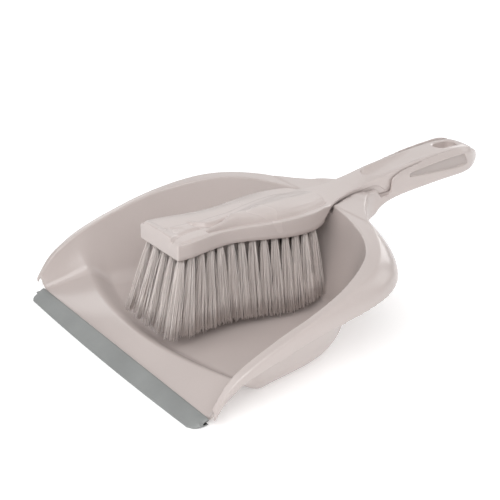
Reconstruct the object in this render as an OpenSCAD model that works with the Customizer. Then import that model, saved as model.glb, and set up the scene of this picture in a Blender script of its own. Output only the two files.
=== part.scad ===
// Dustpan with a hand brush that nests in it.
// The rubber lip faces -Y, the handles point to +Y and the pan stands on z = 0.
// The origin is on the ground, in the middle of the outline.

/* [Pan] */
// Width across the rubber lip
lip_w = 221; // [205:1:235]
// Height of the back rim above the ground
rim_h = 72; // [68:1:78]
// Thickness of the moulded walls
wall_t = 2.2; // [2:0.1:2.4]
// Depth of the turned-down skirt behind the pan
skirt_h = 17; // [10:1:18]
// How far the skirt flares out behind the pan
skirt_out = 12; // [7:1:13]
// Height of the crest at the top of the entry ramp
crest_h = 13; // [9:1:15]

/* [Rubber lip] */
// Width of the rubber strip from front to back
lip_d = 13; // [11:0.5:14]
// Height of the rubber strip at its back edge
lip_h = 5.4; // [5:0.1:6]

/* [Brush] */
// Tufts along each row
tufts_long = 14; // [10:1:14]
// Rows of tufts across the block
tuft_rows = 5; // [5]
// Diameter of a drilled tuft hole
hole_d = 4.3; // [4:0.1:4.5]
// Depth of a drilled tuft hole
hole_depth = 9; // [8:0.5:10]
// Free length of the bristles
bristle_l = 59; // [45:1:59]
// Radius of a tuft at its tips
tip_r = 3.7; // [2.6:0.1:3.8]
// Depth of the thumb recess in the brush handle
thumb_depth = 2.6; // [1:0.2:3]

/* [Handles] */
// Length of the hang hole
hang_l = 21; // [18:1:24]
// Width of the hang hole
hang_w = 11.4; // [8:0.2:12]
// Clearance between the brush handle and the trough
nest_gap = 0.8; // [0.6:0.1:1]
// Width of the finger notches in the trough walls
notch_w = 14; // [12:1:15]

/* [Hidden] */

taupe = [0.80, 0.74, 0.71];
taupe_light = [0.83, 0.78, 0.75];
rubber_grey = [0.45, 0.47, 0.46];
steel = [0.75, 0.76, 0.78];

mid_y = 169;            // the lip's front edge lies this far in front of the origin
kx = lip_w / 221;       // width scale of the pan
dz = rim_h - 72;        // height shift of the handles and the brush
kz = rim_h / 72;        // height scale of the pan walls
floor_z = wall_t;       // top of the pan's floor

// ---- smooth curves through hand-picked points ----
function cr(a, b, c, d, t) = 0.5 * (2*b + (c - a)*t + (2*a - 5*b + 4*c - d)*t*t + (3*b - a - 3*c + d)*t*t*t);
function spline(P, u) = let (n = len(P) - 1, v = min(max(u, 0), 1) * n, i = min(floor(v), n - 1))
  cr(P[max(i - 1, 0)], P[i], P[i + 1], P[min(i + 2, n)], v - i);
// height or half width at a distance y from the lip, straight between table rows
function at(P, y) = lookup(y, P);
function sm(t) = let (c = min(max(t, 0), 1)) c*c*(3 - 2*c);
function unit(v) = v / norm(v);
function bez(a, b, c, t) = a*(1-t)*(1-t) + 2*b*t*(1-t) + c*t*t;

// inner edge of the rim, right half, from the front corner to the middle of the back
rim_in = [[114,12,14],[113.4,22,26],[113.3,33,33.5],[113.6,47,40],[113.2,63,45.5],[112.8,79,50],
  [111.6,95,54.5],[108.5,112,59],[103,127,62.3],[96,141,65.5],[87.5,152.5,68],[77,161,69.8],
  [65,167.5,71],[53,172,71.7],[40,176.5,72],[27,180,72.2],[13,182.5,72.3],[0,183.5,72.3]];
// outer edge of the rim flange
rim_out = [[118,11,11],[118.2,21,24],[118.7,33,32.5],[119.2,47,39.3],[119.2,63,45],[118.3,79,50],
  [117,95,54.7],[114.6,112,59],[110.5,130,63],[105,144.5,66],[97.5,156,68.2],[88,165,69.9],
  [76,173,71.4],[63,179.5,72.6],[50,185,73],[36,189,73],[18,191.5,73],[0,192,73]];
// corner where the wall would meet the floor
foot = [[110,13],[106.5,24],[102.5,37],[99,50],[96,63],[94,77],[92,91],[89.5,105],[85.5,118],
  [78.5,131],[70.5,142],[61.5,150.5],[51.5,156.5],[41.5,160.5],[31,163.5],[21,165.5],[10.5,167],[0,167.5]];
// skirt drop and flare, as parts of their largest value
drop = [0.24,0.28,0.37,0.5,0.6,0.66,0.74,0.85,0.95,1,1,1,0.98,0.95,0.9,0.9,0.9,0.9];
flare = [0.03,0.05,0.07,0.1,0.13,0.18,0.28,0.44,0.66,0.88,1,1,0.88,0.65,0.4,0.3,0.3,0.3];

function sx(p) = [p[0]*kx, p[1], p[2]*kz];
function crest_y(x) = 25 + 16*pow(abs(x)/90, 2);
// top of the entry ramp, the crest, the step behind it and the flat floor
function ground(x, y) = let (c = crest_y(x))
  y < c ? 4 + (crest_h - 4)*pow(max(0, (y - 12)/(c - 12)), 0.9)
        : floor_z + (crest_h - floor_z)*(1 - sm((y - c)/20));

NR = 34;   // slices from the lip to the back
NF = 4;    // steps across the floor
NB = 4;    // steps round the fillet
NK = 4;    // steps round the skirt
MP = NF + NB + 1 + NK + 1;  // points of one layer, less one

function nrm(u) = let (a = sx(spline(rim_out, u - 0.02)), b = sx(spline(rim_out, u + 0.02)), d = b - a)
  u > 0.999 ? [0,1,0] : u < 0.001 ? [1,0,0] : unit([d[1], -d[0], 0]);
function layer(u, o) = let (
    R = sx(spline(rim_in, u)), O = sx(spline(rim_out, u)), K2 = spline(foot, u),
    n = nrm(u), S = [0, 12 + 98*pow(u, 0.9), 0], Kp = [K2[0]*kx, K2[1], 0],
    K = [Kp[0], Kp[1], ground(Kp[0], Kp[1])], dir = unit([S[0]-K[0], S[1]-K[1], 0]),
    E0 = K + dir*min(3 + 6*sm(u/0.3), 0.5*norm([K[0], K[1]-S[1]])), E = [E0[0], E0[1], ground(E0[0], E0[1])],
    W = K + (R - K)*min(0.45, (4 + 6*sm(u/0.3))/norm(R - K)), w = wall_t,
    h = max(skirt_h*spline(drop, u), w + 1.6), f = skirt_out*spline(flare, u))
  concat(
    [for (i = [0:NF-1]) let (p = [S[0], S[1], 0] + ([E[0], E[1], 0] - [S[0], S[1], 0])*i/NF)
      [p[0], p[1], ground(p[0], p[1]) - o*w]],
    [for (i = [0:NB]) let (t = i/NB, p = bez(E, K, W, t)) p + o*w*(n*0.9*sin(90*t) - [0,0,1]*cos(90*t))],
    [R + o*(n*w*0.85 - [0,0,1]*w)],
    [for (i = [0:NK]) let (a = 90*i/NK) O + n*f*sin(a) - [0,0,1]*h*(1 - cos(a))
      - o*(n*w*0.8*sin(a) + [0,0,1]*w*cos(a) + n*w*0.35*cos(a))]);

module pan_shell() {
  M = MP + 1;
  pts = [for (i = [0:NR]) each [for (o = [0, 1]) each let (L = layer(i/NR, o))
    [for (p = L) each [[i == NR ? 0 : p[0], p[1], p[2]], [i == NR ? 0 : -p[0], p[1], p[2]]]]]];
  function id(i, o, j, s) = ((i*2 + o)*M + j)*2 + ((j == 0 || i == NR) ? 0 : s);
  function quad(a, b, c, d, s) = s == 0 ? [[a, b, d], [b, c, d]] : [[d, b, a], [d, c, b]];
  faces = concat(
    [for (i = [0:NR-1], j = [0:MP-1], s = [0, 1]) each
      quad(id(i,0,j,s), id(i+1,0,j,s), id(i+1,0,j+1,s), id(i,0,j+1,s), s)],
    [for (i = [0:NR-1], j = [0:MP-1], s = [0, 1]) each
      quad(id(i,1,j,s), id(i,1,j+1,s), id(i+1,1,j+1,s), id(i+1,1,j,s), s)],
    [for (i = [0:NR-1], s = [0, 1]) each
      quad(id(i,0,MP,s), id(i+1,0,MP,s), id(i+1,1,MP,s), id(i,1,MP,s), s)],
    [for (j = [0:MP-1], s = [0, 1]) each
      quad(id(0,0,j,s), id(0,0,j+1,s), id(0,1,j+1,s), id(0,1,j,s), s)]);
  polyhedron(pts, faces, convexity = 8);
}

// ---- trough handle of the dustpan ----
// outer half width, top and bottom against the distance from the lip
trough_w = [[182,57],[187,50],[192,42],[197,35],[203,28.5],[209,23],[216,18.5],[223,16],[231,15.2],[245,15.2],
  [262,15.6],[285,16],[310,16],[316,15.4],[322,13.9],[328,11],[333,7.8],[337,4.6],[339.4,1.8],[340,0.6]];
trough_top = [[180,73.2],[200,74.6],[206,75.6],[212,75.2],[218,74],[225,74],[232,76],[238,79],[242,81.4],[247,83.6],[252,84.9],
  [264,86.2],[280,87.8],[296,89],[309,89.5],[318,88.3],[324,85.8],[330,82.6],[336,79.2],[341,76.4]];
trough_bot = [[180,56],[200,54],[214,52.5],[223,54],[229,58.5],[236,61.6],[245,63.6],[260,65.4],[276,66.6],
  [292,67.5],[308,68],[321,68.8],[330,70],[336,71.6],[341,73.5]];
channel_floor = [[170,66],[184,66.5],[200,67.4],[220,68.2],[240,68.8],[260,69.8],[300,72.4],[320,73.6],[345,75]];

function ys(a, b, n) = [for (i = [0:n]) a + (b - a)*i/n];
function profile(top, bot, a, b, n) = concat([for (y = ys(a, b, n)) [y, at(bot, y)]],
  [for (y = ys(b, a, n)) [y, at(top, y)]]);
// solid between a side profile in the y-z plane and a plan outline
module side_solid(pts, w) { rotate([90, 0, 90]) translate([0, 0, -w]) linear_extrude(2*w) polygon(pts); }
module slot_cut(l, w, z0, z1, yc) {
  for (s = [-1, 1]) translate([0, yc + s*(l - w)/2, z0]) cylinder(h = z1 - z0, d = w, $fn = 48);
  translate([-w/2, yc - (l - w)/2, z0]) cube([w, l - w, z1 - z0]);
}

// the rim of the trough slopes down to the outside
function trough_ring(y) = let (w = at(trough_w, y), t = at(trough_top, y), b = at(trough_bot, y),
    k = sm((y - 222)/20)*sm((341 - y)/6), c = 1 + 2.6*k, e = 1.2 + 3.4*k, g = min(1.6, w/3))
  mirrored([[0, t + 0.08], [max(w - c, w*0.4), t], [w, t - e], [w, b + g], [w - g, b], [0, b - 0.08]], y);
module trough() {
  difference() {
    loft([for (y = concat(ys(183, 228, 15), ys(232, 322, 18), ys(324, 338, 7), [339, 340])) trough_ring(y)]);
    // hollow below the root, on both sides of the channel
    root_hollow();
    mirror([1, 0, 0]) root_hollow();
    // space under the channel floor near the root
    side_solid([[176,40],[231,40],[231,at(trough_bot,231)],[226,at(channel_floor,226)-4],[176,at(channel_floor,176)-3]], 12.6);
    // shallow grip panels down both sides
    grip_panel();
    mirror([1, 0, 0]) grip_panel();
  }
}
module root_hollow() intersection() {
  side_solid(profile([[170,70.2],[200,71.6],[214,71.8]], [[170,40],[240,40]], 176, 211, 8), 70);
  linear_extrude(100) polygon(concat([for (y = ys(176, 211, 12)) [at(trough_w, y) - 2.6, y]],
    [for (y = ys(211, 176, 12)) [nest_c(y) + 2.2, y]]));
}
module grip_panel() rotate([90, 0, 90]) translate([0, 0, 14.3]) linear_extrude(4)
  polygon([[257,77.3],[276,76],[300,74.6],[315,73.4],[312.5,84.4],[296,83.9],[280,82.7],[266,81.3],[257,80.2]]);
// the channel follows the brush and opens out towards the pan
function nest_c(y) = min(17.5, at(brush_w, y) + nest_gap);
module channel() {
  intersection() {
    side_solid(concat([for (y = ys(172, 334, 40)) [y, at(channel_floor, y)]], [[334,100],[172,100]]), 30);
    linear_extrude(110) polygon(concat([for (y = ys(172, 325, 38)) [nest_c(y), y]],
      [for (a = [10:20:80]) [(at(brush_w,325)+nest_gap)*cos(a), 325 + 8.2*sin(a)]],
      [for (a = [80:-20:10]) [-(at(brush_w,325)+nest_gap)*cos(a), 325 + 8.2*sin(a)]],
      [for (y = ys(325, 172, 38)) [-nest_c(y), y]]));
  }
}
// finger notches in both trough walls
module notches() {
  for (s = [-1, 1]) {
    translate([s*16.5 - 5, 232.5 - notch_w/2 + 3, 67.4]) cube([10, notch_w - 6, 20]);
    translate([s*16.5 - 5, 232.5 - notch_w/2, 70.4]) cube([10, notch_w, 20]);
    for (e = [-1, 1]) translate([s*16.5 - 5, 232.5 + e*(notch_w/2 - 3), 70.4]) rotate([0, 90, 0]) cylinder(h = 10, r = 3, $fn = 32);
  }
}

module dustpan() {
  color(taupe) translate([0, -mid_y, 0]) difference() {
    union() {
      pan_shell();
      // tongue that carries the rubber strip
      translate([-104*kx, 6, 1.9]) cube([208*kx, 8, 1.7]);
      translate([0, 0, dz]) trough();
    }
    translate([0, 0, dz]) {
      channel();
      notches();
      slot_cut(hang_l + 1, hang_w + 1, 55, 100, 306);
    }
  }
}

// ---- rubber strip pushed onto the tongue ----
module lip_strip() {
  b = lip_d - 1;
  color(rubber_grey) translate([0, -mid_y, 0]) intersection() {
    rotate([90, 0, 90]) translate([0, 0, -120]) linear_extrude(240) difference() {
      polygon([[-2,0],[-2,0.9],[0.5,1.9],[3.5,3.2],[7,4.5],[10,lip_h-0.2],[b-0.4,lip_h],[b,lip_h-0.5],[b-0.2,3.9],
        [b-0.6,3.6],[6,3.6],[6,1.9],[b-1,1.9],[b-1.6,0]]);
    }
    linear_extrude(12) polygon(concat(
      [for (i = [-10:10]) [i*10.4*kx, -2 + 2*pow(abs(i)/10, 2)]],
      [[107.5*kx, 2], [110.5*kx, 10], [110.5*kx, 20], [-110.5*kx, 20], [-110.5*kx, 10], [-107.5*kx, 2]]));
  }
}

// ---- brush ----
brush_w = [[46.5,24],[56,24.3],[65,23.2],[74,21.8],[86,20.6],[98,21.2],[106,22.3],[113,23.6],[120,25],[128,26.3],
  [136,27.3],[145,27.8],[153,27.4],[160,26.2],[166,24.5],[171,22.6],[177,20],[183,17.3],[190,14.8],[201,12.6],
  [209,12],[217,11.8],[226,12],[238,12.4],[251,12.2],[267,12],[284,11.7],[300,11.5],[317,11],[322,10.2],[327,8],[330,5.6],[332,1.5]];
brush_edge = [[46.5,77.5],[65,77],[82,76],[98,75],[113,74.4],[130,74.2],[150,74.2],[165,74.3],[177,74.6],[190,76],
  [201,77.3],[216,79.3],[230,81.4],[250,84],[270,86],[290,87.6],[305,88.3],[318,87.6],[325,85.6],[329,83.4],[332,81]];
brush_crown = [[46.5,81.2],[60,81],[80,80.6],[100,80.4],[125,80],[150,78.6],[170,76.6],[180,76.2],[190,76.8],[201,78],
  [216,80.4],[230,83],[250,85.6],[270,87.6],[290,89.2],[305,89.8],[318,89],[325,87],[329,84.6],[332,81.6]];
brush_under = [[46.5,67.3],[88,67.5],[104,66.4],[121,64.8],[138,63.2],[156,62.6],[165,63.2],[171,65.2],[175,67],
  [181,67.4],[190,67.6],[200,67.9],[220,68.7],[240,69.3],[260,70.3],[300,72.9],[320,74.1],[326,75.2],[330,77],[332,79]];
brush_ledge = [[46.5,68.1],[88,68.3],[104,67.2],[121,65.6],[138,64],[156,63.4],[165,64.4],[170,67],[175,70.6],[178,72.6],
  [181,73.5],[190,74.3],[200,74.9],[217,76],[222,76.6],[230,75],[236,71],[250,71],[270,72.2],[300,74],[320,75.4],[326,76.8],[330,78.2],[332,79.6]];
function keel(y) = let (w = at(brush_w, y)) y < 170 ? w - 0.5 : y < 178 ? max(12, (w - 0.5) + (12 - w + 0.5)*(y - 170)/8)
  : y < 222 ? min(11.9, w - 0.3) : w - 0.4;
function thumb(y) = thumb_depth*sm((y - 221)/9)*(1 - sm((y - 240)/44));

brush_y = concat([46.5, 47.5], ys(50, 170, 26), ys(174, 230, 14), ys(235, 315, 14), [319, 322, 325, 327.5, 329.5, 331, 332]);
function brush_ring(y) = let (w = at(brush_w, y), e = at(brush_edge, y), c = at(brush_crown, y), b = at(brush_under, y),
    l = at(brush_ledge, y), k = keel(y), d = thumb(y), f = y < 47 ? 0.8 : 0,
    r = [[0, c - d], [0.35*w, c - 0.05*(c - e) - d], [0.62*w, e + 0.72*(c - e) - 0.35*d], [w - 1.6 - f, e + 0.3], [w - f, e - 0.9],
         [w - f, l], [k - f, l - 0.2], [k - f, b + 0.2], [0, b]])
  mirrored(r, y);
module brush_solid() loft([for (y = brush_y) brush_ring(y)]);
// closed solid through a row of rings, each one symmetric and drawn from the top middle over +X to -X
module loft(R) {
  n = len(R[0]); m = len(R);
  function q(i, j) = i*n + (j % n);
  polyhedron([for (r = R) each r], concat(
    [for (i = [0:m-2], j = [0:n-1]) each [[q(i,j), q(i+1,j+1), q(i,j+1)], [q(i,j), q(i+1,j), q(i+1,j+1)]]],
    // end caps, as strips from the right side to the left
    [for (j = [0:n/2-1]) each cap(0, j, n, true)],
    [for (j = [0:n/2-1]) each cap(m-1, j, n, false)]), convexity = 6);
}
function cap(i, j, n, flip) = let (o = i*n, a = o + j, b = o + j + 1, c = o + (n - j - 1) % n, d = o + (n - j) % n,
    t = j == 0 ? [[a, c, b]] : j == n/2 - 1 ? [[a, d, b]] : [[a, d, c], [a, c, b]])
  flip ? [for (f = t) [f[2], f[1], f[0]]] : t;
function mirrored(r, y) = concat([for (p = r) [p[0], y, p[1]]], [for (i = [len(r)-2:-1:1]) [-r[i][0], y, r[i][1]]]);

// the tufts stand in five rows that follow the outline of the block
function tuft_y(i) = 52 + i*8.3*13/(tufts_long - 1);
function tuft_x(k, y) = k/2*(at(brush_w, y) - 5);
function lean_y(i) = let (t = i/(tufts_long - 1)) -15*pow(max(0, 1 - t/0.34), 1.4) + max(0, (t - 0.8)/0.2);
function lean_x(k, i) = k/2*(7.5 - 2*sin(180*i/(tufts_long - 1)));

// the last tufts are trimmed to stand clear of the back wall
function trim(k, i) = (3.4 + 0.5*abs(k))*sm((i/(tufts_long - 1) - 0.74)/0.26);

module brush_body() {
  color(taupe_light) translate([0, -mid_y, dz]) difference() {
    brush_solid();
    for (k = [-2:2], i = [0:tufts_long-1]) let (y = tuft_y(i))
      translate([tuft_x(k, y), y, at(brush_under, y) - 2]) cylinder(h = hole_depth + 2, d = hole_d, $fn = 24);
    slot_cut(hang_l, hang_w, 60, 100, 306);
  }
}
module tuft(k, i) {
  y = tuft_y(i); z = at(brush_under, y) + 0.3; ax = lean_x(k, i); ay = lean_y(i);
  l = bristle_l/norm([ax, ay, bristle_l])*bristle_l - trim(k, i);
  translate([tuft_x(k, y), y, z]) difference() {
    union() {
      translate([0, 0, -0.6]) cylinder(h = hole_depth + 0.3, d = hole_d - 0.1, $fn = 24);
      // the free end spreads and leans outwards
      translate([0, 0, 0.6]) rotate([0, 0, atan2(ay, ax)]) rotate([0, 180 - atan2(norm([ax, ay]), bristle_l), 0])
        cylinder(h = l + 0.6, r1 = hole_d/2 - 0.55, r2 = tip_r, $fn = 24);
    }
    anchor_box(0.3);
  }
}
module anchor_box(g = 0) translate([-hole_d/2 + 0.05 - g, -0.25, 5]) cube([hole_d - 0.1 + 2*g, 0.5, 2.2]);
module tuft_row(k) color(taupe_light) translate([0, -mid_y, dz]) for (i = [0:tufts_long-1]) tuft(k, i);
module anchor_row(k) color(steel) translate([0, -mid_y, dz]) for (i = [0:tufts_long-1]) let (y = tuft_y(i))
  translate([tuft_x(k, y), y, at(brush_under, y) + 0.3]) anchor_box();

module tufts_left_outer() tuft_row(-2);
module tufts_left_inner() tuft_row(-1);
module tufts_middle() tuft_row(0);
module tufts_right_inner() tuft_row(1);
module tufts_right_outer() tuft_row(2);
module anchors_left_outer() anchor_row(-2);
module anchors_left_inner() anchor_row(-1);
module anchors_middle() anchor_row(0);
module anchors_right_inner() anchor_row(1);
module anchors_right_outer() anchor_row(2);

dustpan();
lip_strip();
brush_body();
tufts_left_outer();
tufts_left_inner();
tufts_middle();
tufts_right_inner();
tufts_right_outer();
anchors_left_outer();
anchors_left_inner();
anchors_middle();
anchors_right_inner();
anchors_right_outer();
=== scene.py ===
import bpy, math
import numpy as np
from mathutils import Matrix, Vector
from mathutils.bvhtree import BVHTree


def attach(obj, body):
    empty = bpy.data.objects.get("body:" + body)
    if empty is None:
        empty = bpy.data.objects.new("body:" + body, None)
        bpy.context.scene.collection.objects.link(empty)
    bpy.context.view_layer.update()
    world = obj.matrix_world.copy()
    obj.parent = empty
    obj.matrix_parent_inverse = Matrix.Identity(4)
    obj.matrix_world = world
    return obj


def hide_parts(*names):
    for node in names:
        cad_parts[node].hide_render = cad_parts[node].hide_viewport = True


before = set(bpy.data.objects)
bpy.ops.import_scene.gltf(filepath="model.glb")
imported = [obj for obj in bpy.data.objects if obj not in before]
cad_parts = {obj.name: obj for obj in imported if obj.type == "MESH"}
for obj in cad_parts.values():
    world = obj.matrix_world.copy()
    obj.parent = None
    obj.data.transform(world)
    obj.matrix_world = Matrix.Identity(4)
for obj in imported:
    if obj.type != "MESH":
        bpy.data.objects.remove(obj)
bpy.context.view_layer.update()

# Everything is drawn in millimetres with y counted from the front edge of the lip, and moved
# into the frame at the end.
MID_Y = 169.0
KX, DZ = 1.0, 0.0


def clamp01(t):
    return np.minimum(np.maximum(t, 0.0), 1.0)


def sm(t):
    c = clamp01(np.asarray(t, float))
    return c * c * (3 - 2 * c)


class Table:
    """A smooth curve through listed rows that never overshoots them."""

    def __init__(self, rows):
        p = np.array(rows, float)
        x, y = p[:, 0], p[:, 1]
        h, d = np.diff(x), np.diff(y) / np.diff(x)
        m = np.zeros(len(x))
        for i in range(1, len(x) - 1):
            if d[i - 1] * d[i] > 0:
                w1, w2 = 2 * h[i] + h[i - 1], h[i] + 2 * h[i - 1]
                m[i] = (w1 + w2) / (w1 / d[i - 1] + w2 / d[i])
        m[0], m[-1] = d[0], d[-1]
        self.x, self.y, self.m, self.h = x, y, m, h

    def __call__(self, q):
        q = np.clip(np.asarray(q, float), self.x[0], self.x[-1])
        i = np.clip(np.searchsorted(self.x, q, side="right") - 1, 0, len(self.x) - 2)
        h = self.h[i]
        t = (q - self.x[i]) / h
        return (
            (2 * t**3 - 3 * t**2 + 1) * self.y[i]
            + (t**3 - 2 * t**2 + t) * h * self.m[i]
            + (-2 * t**3 + 3 * t**2) * self.y[i + 1]
            + (t**3 - t**2) * h * self.m[i + 1]
        )


def spline(rows, u):
    """Catmull-Rom through a list of points or numbers, u from 0 to 1."""
    p = np.asarray(rows, float)
    n = len(p) - 1
    v = min(max(u, 0.0), 1.0) * n
    i = min(int(v), n - 1)
    t = v - i
    a, b, c, d = p[max(i - 1, 0)], p[i], p[i + 1], p[min(i + 2, n)]
    return 0.5 * (2 * b + (c - a) * t + (2 * a - 5 * b + 4 * c - d) * t * t + (3 * b - a - 3 * c + d) * t**3)


# ---------------------------------------------------------------- tables, as in the CAD
rim_in = [[114,12,14],[113.4,22,26],[113.3,33,33.5],[113.6,47,40],[113.2,63,45.5],[112.8,79,50],
  [111.6,95,54.5],[108.5,112,59],[103,127,62.3],[96,141,65.5],[87.5,152.5,68],[77,161,69.8],
  [65,167.5,71],[53,172,71.7],[40,176.5,72],[27,180,72.2],[13,182.5,72.3],[0,183.5,72.3]]
rim_out = [[118,11,11],[118.2,21,24],[118.7,33,32.5],[119.2,47,39.3],[119.2,63,45],[118.3,79,50],
  [117,95,54.7],[114.6,112,59],[110.5,130,63],[105,144.5,66],[97.5,156,68.2],[88,165,69.9],
  [76,173,71.4],[63,179.5,72.6],[50,185,73],[36,189,73],[18,191.5,73],[0,192,73]]
foot = [[110,13],[106.5,24],[102.5,37],[99,50],[96,63],[94,77],[92,91],[89.5,105],[85.5,118],
  [78.5,131],[70.5,142],[61.5,150.5],[51.5,156.5],[41.5,160.5],[31,163.5],[21,165.5],[10.5,167],[0,167.5]]
drop = [0.24,0.28,0.37,0.5,0.6,0.66,0.74,0.85,0.95,1,1,1,0.98,0.95,0.9,0.9,0.9,0.9]
flare = [0.03,0.05,0.07,0.1,0.13,0.18,0.28,0.44,0.66,0.88,1,1,0.88,0.65,0.4,0.3,0.3,0.3]
trough_w = Table([[182,57],[187,50],[192,42],[197,35],[203,28.5],[209,23],[216,18.5],[223,16],[231,15.2],[245,15.2],
  [262,15.6],[285,16],[310,16],[316,15.4],[322,13.9],[328,11],[333,7.8],[337,4.6],[339.4,1.8],[340,0.6]])
trough_top = Table([[180,73.2],[200,74.6],[206,75.6],[212,75.2],[218,74],[225,74],[232,76],[238,79],[242,81.4],[247,83.6],[252,84.9],
  [264,86.2],[280,87.8],[296,89],[309,89.5],[318,88.3],[324,85.8],[330,82.6],[336,79.2],[341,76.4]])
trough_bot = Table([[180,56],[200,54],[214,52.5],[223,54],[229,58.5],[236,61.6],[245,63.6],[260,65.4],[276,66.6],
  [292,67.5],[308,68],[321,68.8],[330,70],[336,71.6],[341,73.5]])
channel_floor = Table([[170,66],[184,66.5],[200,67.4],[220,68.2],[240,68.8],[260,69.8],[300,72.4],[320,73.6],[345,75]])
brush_w = Table([[46.5,24],[56,24.3],[65,23.2],[74,21.8],[86,20.6],[98,21.2],[106,22.3],[113,23.6],[120,25],[128,26.3],
  [136,27.3],[145,27.8],[153,27.4],[160,26.2],[166,24.5],[171,22.6],[177,20],[183,17.3],[190,14.8],[201,12.6],
  [209,12],[217,11.8],[226,12],[238,12.4],[251,12.2],[267,12],[284,11.7],[300,11.5],[317,11],[322,10.2],[327,8],[330,5.6],[332,1.5]])
brush_edge = Table([[46.5,77.5],[65,77],[82,76],[98,75],[113,74.4],[130,74.2],[150,74.2],[165,74.3],[177,74.6],[190,76],
  [201,77.3],[216,79.3],[230,81.4],[250,84],[270,86],[290,87.6],[305,88.3],[318,87.4],[325,85.0],[329,82.4],[332,80.2]])
brush_crown = Table([[46.5,81.2],[60,81],[80,80.6],[100,80.4],[125,80],[150,78.6],[170,76.6],[180,76.2],[190,76.8],[201,78],
  [216,80.4],[230,83],[250,85.6],[270,87.6],[290,89.2],[305,89.8],[318,88.7],[325,86.3],[329,83.6],[332,80.8]])
brush_under = Table([[46.5,67.3],[88,67.5],[104,66.4],[121,64.8],[138,63.2],[156,62.6],[165,63.2],[171,65.2],[175,67],
  [181,67.4],[190,67.6],[200,67.9],[220,68.7],[240,69.3],[260,70.3],[300,72.9],[320,74.1],[326,75.2],[330,77],[332,79]])
brush_ledge = Table([[46.5,68.1],[88,68.3],[104,67.2],[121,65.6],[138,64],[156,63.4],[165,64.4],[170,67],[175,70.6],[178,72.6],
  [181,73.5],[190,74.3],[200,74.9],[217,76],[222,76.6],[230,75],[236,71],[250,71],[270,72.2],[300,74],[320,75.4],[326,76.8],[330,78.2],[332,79.6]])

WALL, FLOOR_Z, CREST_H, SKIRT_H, SKIRT_OUT, GAP = 2.2, 2.2, 13.0, 17.0, 12.0, 0.8


def ground(x, y):
    """Top of the entry ramp, the crest, the step behind it and the flat floor."""
    x, y = np.asarray(x, float), np.asarray(y, float)
    c = 25 + 16 * (np.abs(x) / 90) ** 2
    up = 4 + (CREST_H - 4) * np.maximum(0, (y - 12) / (c - 12)) ** 0.9
    down = FLOOR_Z + (CREST_H - FLOOR_Z) * (1 - sm((y - c) / 20))
    return np.where(y < c, up, down)


# ---------------------------------------------------------------- mesh helpers
def raw_mesh(name, verts, faces):
    me = bpy.data.meshes.new(name)
    me.from_pydata([tuple(v) for v in verts], [], [tuple(f) for f in faces])
    me.update()
    return me


def new_object(name, verts, faces):
    o = bpy.data.objects.new(name, raw_mesh(name, verts, faces))
    bpy.context.scene.collection.objects.link(o)
    return o


def loft(name, rings, flat_start=False):
    """Closed solid through a row of rings with the same number of points, capped with fans or one flat face."""
    R = np.array(rings, float)
    m, n = R.shape[:2]
    verts = list(R.reshape(-1, 3)) + [R[0].mean(0), R[-1].mean(0)]
    faces = []
    for i in range(m - 1):
        for j in range(n):
            a, b = i * n + j, i * n + (j + 1) % n
            faces.append((a, b, b + n, a + n))
    for j in range(n):
        if not flat_start:
            faces.append((m * n, (j + 1) % n, j))
        faces.append((m * n + 1, (m - 1) * n + j, (m - 1) * n + (j + 1) % n))
    if flat_start:
        faces.append(tuple(range(n - 1, -1, -1)))
        verts[m * n] = verts[0]
    o = new_object(name, verts, faces)
    if flat_start:
        import bmesh
        bm = bmesh.new()
        bm.from_mesh(o.data)
        bmesh.ops.delete(bm, geom=[v for v in bm.verts if not v.link_faces], context="VERTS")
        bmesh.ops.triangulate(bm, faces=[f for f in bm.faces if len(f.verts) > 4])
        bm.to_mesh(o.data)
        bm.free()
    fix_normals(o)
    return o


def fix_normals(o):
    import bmesh
    bm = bmesh.new()
    bm.from_mesh(o.data)
    bmesh.ops.recalc_face_normals(bm, faces=bm.faces)
    if bm.calc_volume(signed=True) < 0:
        bmesh.ops.reverse_faces(bm, faces=bm.faces)
    bm.to_mesh(o.data)
    bm.free()


def prism(name, outline, axis, a, b):
    """Prism of a flat outline along x ("x": outline is y, z) or z ("z": outline is x, y)."""
    put = (lambda p, t: (t, p[0], p[1])) if axis == "x" else (lambda p, t: (p[0], p[1], t))
    return loft(name, [[put(p, t) for p in outline] for t in (a, b)])


def rounded(points, radii, k=5):
    """Closed outline with its corners rounded."""
    P, out = [np.array(p, float) for p in points], []
    n = len(P)
    for i in range(n):
        a, b, c = P[i - 1], P[i], P[(i + 1) % n]
        r = radii[i] if hasattr(radii, "__len__") else radii
        la, lc = np.linalg.norm(a - b), np.linalg.norm(c - b)
        r = min(r, 0.45 * la, 0.45 * lc)
        if r < 1e-3:
            out.append(b)
            continue
        p, q = b + (a - b) / la * r, b + (c - b) / lc * r
        for t in np.linspace(0, 1, k):
            out.append(p * (1 - t) ** 2 + 2 * b * t * (1 - t) + q * t * t)
    return out


def apply_modifiers(o):
    dg = bpy.context.evaluated_depsgraph_get()
    dg.update()
    me = bpy.data.meshes.new_from_object(o.evaluated_get(dg))
    o.modifiers.clear()
    o.data = me
    return o


def cut(o, cutter, op="DIFFERENCE"):
    m = o.modifiers.new("b", "BOOLEAN")
    m.operation, m.object, m.solver = op, cutter, "MANIFOLD"
    bpy.context.view_layer.update()
    apply_modifiers(o)
    bpy.data.objects.remove(cutter)
    return o


def join(o, *others):
    """One object with every object's faces."""
    verts, faces, n = [], [], 0
    for p in (o,) + others:
        verts += [tuple(v.co) for v in p.data.vertices]
        faces += [tuple(n + i for i in f.vertices) for f in p.data.polygons]
        n = len(verts)
    o.data = raw_mesh(o.name, verts, faces)
    for p in others:
        bpy.data.objects.remove(p)
    return o


def remesh(o, size):
    m = o.modifiers.new("r", "REMESH")
    m.mode, m.voxel_size, m.adaptivity, m.use_smooth_shade = "VOXEL", size, 0.0, True
    bpy.context.view_layer.update()
    return apply_modifiers(o)


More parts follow.
